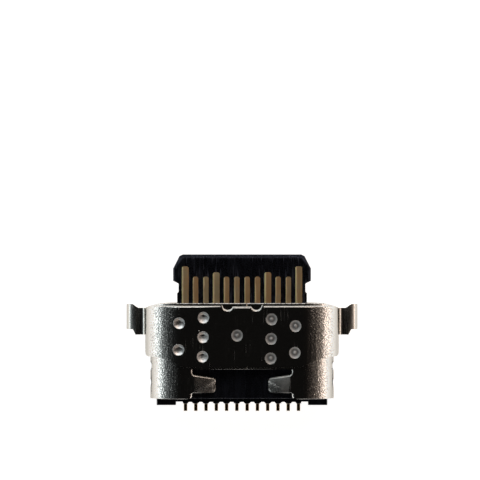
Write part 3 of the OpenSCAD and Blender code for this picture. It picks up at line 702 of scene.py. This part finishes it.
def formed_copy(node, edge, material, least_face=SHEET_FACE, rolls=(), shoulder=0.0):
    """A copy of a part with rolled and broken edges and flat faces kept flat, which stands for the part."""
    piece = bpy.data.objects.new(node + "_formed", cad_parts[node].data.copy())
    bpy.context.collection.objects.link(piece)
    only(piece)
    bpy.ops.mesh.customdata_custom_splitnormals_clear()
    bpy.ops.object.mode_set(mode="EDIT")
    bpy.ops.mesh.select_mode(type="EDGE")
    bpy.ops.mesh.select_all(action="SELECT")
    bpy.ops.mesh.remove_doubles(threshold=MERGE)
    bpy.ops.mesh.dissolve_limited(angle_limit=FLAT_ANGLE)
    mark_creases(piece.data)
    if rolls:
        join_bends(piece.data)
        for roll, window in rolls:
            round_edges(piece.data, roll, ROUND_SEGMENTS, is_rolled(window))
    if shoulder:
        round_edges(piece.data, shoulder, ROUND_SEGMENTS, is_shoulder(node))
    round_edges(piece.data, edge, BREAK_SEGMENTS, is_broken(least_face))
    clear_slivers(piece.data, bool(rolls))
    bpy.ops.object.mode_set(mode="OBJECT")

    only(piece)
    bpy.ops.object.shade_smooth_by_angle(angle=SMOOTH_ANGLE)
    flats = piece.modifiers.new("flats", "WEIGHTED_NORMAL")
    flats.keep_sharp = True
    bpy.ops.object.modifier_apply(modifier=flats.name)
    dress(piece, material)
    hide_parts(node)


class CONNECTOR_OT_sheet_metal(bpy.types.Operator):
    """Make the folded shell and the welded cover with broken edges and nickel plate"""

    bl_idname = "connector.sheet_metal"
    bl_label = "Sheet metal"

    def execute(self, context):
        edges, finish = context.scene.connector_edges, context.scene.connector_finish
        shell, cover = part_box("inner_shell")[1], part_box("outer_cover")[1]
        flanks = {"inner_shell": shell.x, "outer_cover": shell.x + cover.z - shell.z}
        roughness = finish.nickel_roughness
        rolls = ((edges.roll, False), (edges.window_roll, True))
        for node, shaded_flank in flanks.items():
            plate = nickel_plate(node + "_nickel", finish.nickel, roughness, shaded_flank / MM, cover)
            formed_copy(node, edges.sheet, plate, rolls=rolls)
        return {"FINISHED"}


# The dishes in the cover that the weld beads fill, and which of them hold a crater and an outer finish
WELD_COUNT = 11
WELD_ZONE = 3.4 * MM
DISH_DEPTH = (0.119 * MM, 0.121 * MM)
PLACE_DIGITS = 6
CRATER_SIDE = 1.0 * MM
OUTER_SIDE = 2.3 * MM
TURN_STEP = 5.0

# Weld beads: rings of a bead's top as [share of the radius, height in millimetres], from the rim inwards
CRATER_RINGS = (
    (0.93, -0.004),
    (0.82, -0.024),
    (0.68, -0.044),
    (0.50, -0.063),
    (0.32, -0.0755),
    (0.16, -0.082),
)
BUTTON_RINGS = (
    (0.93, -0.006),
    (0.80, -0.014),
    (0.66, -0.026),
    (0.52, -0.040),
    (0.40, -0.044),
    (0.28, -0.034),
    (0.16, -0.014),
    (0.08, -0.006),
)
BEAD_CORNERS = 48
BEAD_DEPTH = 0.12 * MM
BEAD_FOOT = 0.1 * MM
TOP_LEAN = 0.9
PIT_POWER = 8

# Weld beads: height of the melt's ripples, and each as [size, waves, twist from middle to rim, start]
RIPPLE_HEIGHT = 0.0044 * MM
RIPPLES = ((1.0, 3, 0.0, 0.7), (0.6, 7, 9.0, 0.0), (0.5, 5, -14.0, 0.0))


def weld_places():
    """The places of the dishes in the cover, at its top, in order of X and then of Y."""
    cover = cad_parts["outer_cover"].data
    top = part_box("outer_cover")[1].z
    low, high = top - DISH_DEPTH[1], top - DISH_DEPTH[0]
    places = {
        (round(corner.co.x, PLACE_DIGITS), round(corner.co.y, PLACE_DIGITS))
        for corner in cover.vertices
        if low < corner.co.z < high and abs(corner.co.x) < WELD_ZONE
    }
    if len(places) != WELD_COUNT:
        raise RuntimeError(f"{len(places)} weld dishes were found, and {WELD_COUNT} were expected")
    return [Vector((x, y, top)) for x, y in sorted(places)]


def weld_model(name, radius, lip, rings):
    """A weld bead on the XY plane: a disc whose top steps through the rings."""
    bpy.ops.object.select_all(action="DESELECT")
    place = (0.0, 0.0, lip - BEAD_DEPTH / 2)
    bpy.ops.mesh.primitive_cylinder_add(
        vertices=BEAD_CORNERS, radius=radius, depth=BEAD_DEPTH, location=place
    )
    bead = bpy.context.active_object
    bead.name = name
    bpy.ops.object.transform_apply(location=True, rotation=True, scale=True)
    bpy.ops.object.mode_set(mode="EDIT")
    bpy.ops.mesh.select_mode(type="FACE")
    shape = bmesh.from_edit_mesh(bead.data)
    for face in shape.faces:
        face.select_set(face.normal.z > TOP_LEAN)
    bmesh.update_edit_mesh(bead.data)
    reach, height = radius, lip
    for share, level in rings:
        inwards, upwards = reach - share * radius, level * MM - height
        bpy.ops.mesh.inset(thickness=inwards, depth=upwards, use_even_offset=True)
        reach, height = share * radius, level * MM
    bpy.ops.mesh.merge(type="CENTER")
    bpy.ops.object.mode_set(mode="OBJECT")
    return bead


def ripple(bead, radius, sink, pull):
    """Sinks the middle of a bead, pulls it to the front, and adds the uneven rings of the melt."""
    for corner in bead.data.vertices:
        spot = corner.co
        if spot.z < -BEAD_FOOT:
            continue
        share = min(math.hypot(spot.x, spot.y) / radius, 1.0)
        angle = math.atan2(spot.y, spot.x)
        inside = 1.0 - share * share
        wave = sum(
            size * math.sin(waves * angle + twist * share + start) for size, waves, twist, start in RIPPLES
        )
        corner.co.z = spot.z - sink * inside ** PIT_POWER + RIPPLE_HEIGHT * wave * share * inside
        corner.co.y = spot.y - pull * inside * inside


def weld_bead(name, model, material, place, turn):
    """A copy of a bead's model, turned and set in its dish."""
    bead = bpy.data.objects.new(name, model.data.copy())
    bpy.context.collection.objects.link(bead)
    bead.location = place
    bead.rotation_euler.z = turn
    only(bead)
    bpy.ops.object.transform_apply(location=True, rotation=True, scale=True)
    soft = bead.modifiers.new("soft", "SUBSURF")
    soft.levels = soft.render_levels = 1
    bpy.ops.object.modifier_apply(modifier=soft.name)
    bpy.ops.object.shade_smooth()
    dress(bead, material)


class CONNECTOR_OT_welds(bpy.types.Operator):
    """Make the weld beads that join the cover to the shell"""

    bl_idname = "connector.welds"
    bl_label = "Weld beads"

    def execute(self, context):
        weld, finish = context.scene.connector_weld, context.scene.connector_finish
        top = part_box("outer_cover")[1].z / MM
        metals = {name: weld_metal(name, finish.weld, finish.weld_roughness, top) for name in WELD_FINISHES}
        crater = weld_model("crater", weld.radius, weld.lip, CRATER_RINGS)
        ripple(crater, weld.radius, weld.pit, weld.pull)
        button = weld_model("button", weld.radius, weld.lip, BUTTON_RINGS)
        ripple(button, weld.radius, 0.0, 0.0)
        for number, place in enumerate(weld_places(), 1):
            outer = abs(place.x) > OUTER_SIDE
            # The buttons at -X and in the middle take the darker finishes, partly painted shade
            if place.x > CRATER_SIDE:
                model, metal = crater, "bright" if outer else "satin"
            else:
                model, metal = button, "pale" if outer else "dull"
            turn = weld.spread * math.sin(TURN_STEP * number)
            weld_bead(f"weld_bead_{number:02d}", model, metals[metal], place, turn)
        for model in (crater, button):
            bpy.data.objects.remove(model)
        return {"FINISHED"}


class CONNECTOR_OT_mouldings(bpy.types.Operator):
    """Make the tongue, the housing and the two contact wafers in black plastic"""

    bl_idname = "connector.mouldings"
    bl_label = "Mouldings"

    def execute(self, context):
        edges, finish = context.scene.connector_edges, context.scene.connector_finish
        worn = black_moulding("worn_moulding", finish.plastic, finish.plastic_roughness, TONGUE_WEAR)
        plain = black_moulding("plain_moulding", finish.plastic, finish.plastic_roughness, PLAIN_WEAR)
        formed_copy("tongue", edges.moulding, worn, MOULDING_FACE, shoulder=edges.shoulder)
        for node in ("housing", "upper_wafer", "lower_wafer"):
            formed_copy(node, edges.moulding, plain, MOULDING_FACE)
        return {"FINISHED"}


class CONNECTOR_OT_plates(bpy.types.Operator):
    """Make the latch plate and the two ground plates"""

    bl_idname = "connector.plates"
    bl_label = "Plates"

    def execute(self, context):
        edges, finish = context.scene.connector_edges, context.scene.connector_finish
        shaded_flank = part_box("mid_plate")[1].x / MM
        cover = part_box("outer_cover")[1]
        roughness = finish.nickel_roughness + INNER_PLATE_EXTRA
        steel = nickel_plate("plate_steel", finish.nickel, roughness, shaded_flank, cover)
        for node in ("mid_plate", "upper_ground_plate", "lower_ground_plate"):
            formed_copy(node, edges.plate, steel)
        return {"FINISHED"}


class CONNECTOR_OT_contacts(bpy.types.Operator):
    """Make both rows of gold contacts"""

    bl_idname = "connector.contacts"
    bl_label = "Contacts"

    def execute(self, context):
        edges, finish = context.scene.connector_edges, context.scene.connector_finish
        tail_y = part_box("upper_wafer")[1].y / MM
        pitch = abs(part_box("upper_contact_2")[0].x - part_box("upper_contact_3")[0].x) / MM
        gold = contact_gold(
            "contact_gold", finish.gold, finish.gold_roughness, finish.tail_roughness, tail_y, pitch
        )
        for row in ("upper", "lower"):
            for way in WAYS:
                formed_copy(f"{row}_contact_{way}", edges.contact, gold, CONTACT_FACE)
        return {"FINISHED"}


# Floor and camera, in metres, with the camera's film width in millimetres
FLOOR_SIZE = 4.0
FLOOR_GAP = 0.002 * MM
FLOOR_ROUGHNESS = 0.9
FILM_WIDTH = 36.0
CLIP_START = 0.001
CLIP_END = 10.0

# Sky: ramps on a direction's share to the front or back, on its height in radians and on its X
BACK_RAMP = (0.1, 0.8)
FRONT_RAMP = (0.3, 0.9)
PANEL_RAMP = (0.5, 0.9)
FILL_RAMP = (0.3, 0.7)
PANEL_RISE = (0.40, 0.55)
PANEL_FALL = (0.80, 1.05)
TINT_RAMP = (-0.6, 0.6)
AMBIENT = 0.004
TINY = 1e-6


def lay_floor(studio):
    """A pale floor just under the part, which lets light through."""
    bpy.ops.object.select_all(action="DESELECT")
    bpy.ops.mesh.primitive_plane_add(size=FLOOR_SIZE, location=(0.0, 0.0, cad_box[0].z - FLOOR_GAP))
    floor = bpy.context.active_object
    floor.name = "floor"
    material, sheet = new_material("pale_floor")
    inputs = {
        "Base Color": rgba(studio.floor),
        "Roughness": FLOOR_ROUGHNESS,
        "Emission Color": rgba(studio.floor),
        "Emission Strength": studio.floor_glow,
    }
    close_material(sheet, inputs)
    floor.data.materials.append(material)


def light_sky(scene, studio):
    """A ring of light along the horizon, darker in front and behind, with a soft panel above each."""
    world = bpy.data.worlds.new("studio")
    world.use_nodes = True
    scene.world = world
    sky = NodeSheet(world.node_tree)
    way = sky.node("SeparateXYZ", inputs={0: sky.node("TexCoord").out("Generated")})
    x, y, z = way.out("X"), way.out("Y"), way.out("Z")
    height = sky.math("ARCSINE", sky.math("MAXIMUM", z, 0.0))
    back = y / sky.math("SQRT", x * x + y * y + TINY)
    ring = studio.ring * sky.math("EXPONENT", -height / studio.ring_decay)
    ring = ring + studio.skirt * sky.math("EXPONENT", -height / studio.skirt_decay)
    ring = ring * (1.0 - studio.back_shade * sky.step(back, BACK_RAMP))
    ring = ring * (1.0 - studio.front_shade * sky.step(-back, FRONT_RAMP))
    panels = studio.panel * sky.step(-back, PANEL_RAMP) + studio.fill * sky.step(back, FILL_RAMP)
    level = ring + panels * sky.band(height, PANEL_RISE, PANEL_FALL) + AMBIENT
    colour = sky.mix(sky.step(x, TINT_RAMP), rgba(studio.warm), rgba(studio.cool))
    light = sky.node("Background", inputs={"Color": colour, "Strength": level})
    sky.node("OutputWorld", inputs={"Surface": light})
    scene.view_settings.view_transform = "Standard"


def place_camera(scene, studio):
    """A camera that looks straight down, with the tongue's tip at the top of the picture."""
    camera = bpy.data.objects.new("camera", bpy.data.cameras.new("camera"))
    camera.data.lens = studio.camera_lens
    camera.data.sensor_width = FILM_WIDTH
    camera.data.clip_start = CLIP_START
    camera.data.clip_end = CLIP_END
    camera.location = (studio.camera_x, studio.camera_y, studio.camera_height)
    camera.rotation_euler = (0.0, 0.0, math.pi)
    bpy.context.collection.objects.link(camera)
    scene.camera = camera


class CONNECTOR_OT_studio(bpy.types.Operator):
    """Set up the floor, the light and the camera"""

    bl_idname = "connector.studio"
    bl_label = "Studio"

    def execute(self, context):
        studio = context.scene.connector_studio
        lay_floor(studio)
        light_sky(context.scene, studio)
        place_camera(context.scene, studio)
        return {"FINISHED"}


GROUPS = {
    "connector_edges": ConnectorEdges,
    "connector_finish": ConnectorFinish,
    "connector_weld": ConnectorWeld,
    "connector_studio": ConnectorStudio,
}

STEPS = (
    CONNECTOR_OT_sheet_metal,
    CONNECTOR_OT_welds,
    CONNECTOR_OT_mouldings,
    CONNECTOR_OT_plates,
    CONNECTOR_OT_contacts,
    CONNECTOR_OT_studio,
)


class CONNECTOR_PT_sidebar(bpy.types.Panel):
    """Sizes, colours and steps of the connector"""

    bl_idname = "CONNECTOR_PT_sidebar"
    bl_label = "Connector"
    bl_space_type = "VIEW_3D"
    bl_region_type = "UI"
    bl_category = "Connector"

    def draw(self, context):
        for name, group in GROUPS.items():
            box = self.layout.box()
            for value in group.__annotations__:
                box.prop(getattr(context.scene, name), value)
        for step in STEPS:
            self.layout.operator(step.bl_idname)


CLASSES = (*GROUPS.values(), *STEPS, CONNECTOR_PT_sidebar)


def register():
    for made in CLASSES:
        bpy.utils.register_class(made)
    for name, group in GROUPS.items():
        setattr(bpy.types.Scene, name, bpy.props.PointerProperty(type=group))


def unregister():
    for name in GROUPS:
        delattr(bpy.types.Scene, name)
    for made in reversed(CLASSES):
        bpy.utils.unregister_class(made)


def main():
    register()
    bpy.ops.connector.sheet_metal()
    bpy.ops.connector.welds()
    bpy.ops.connector.mouldings()
    bpy.ops.connector.plates()
    bpy.ops.connector.contacts()
    bpy.ops.connector.studio()


if __name__ == "__main__":
    main()
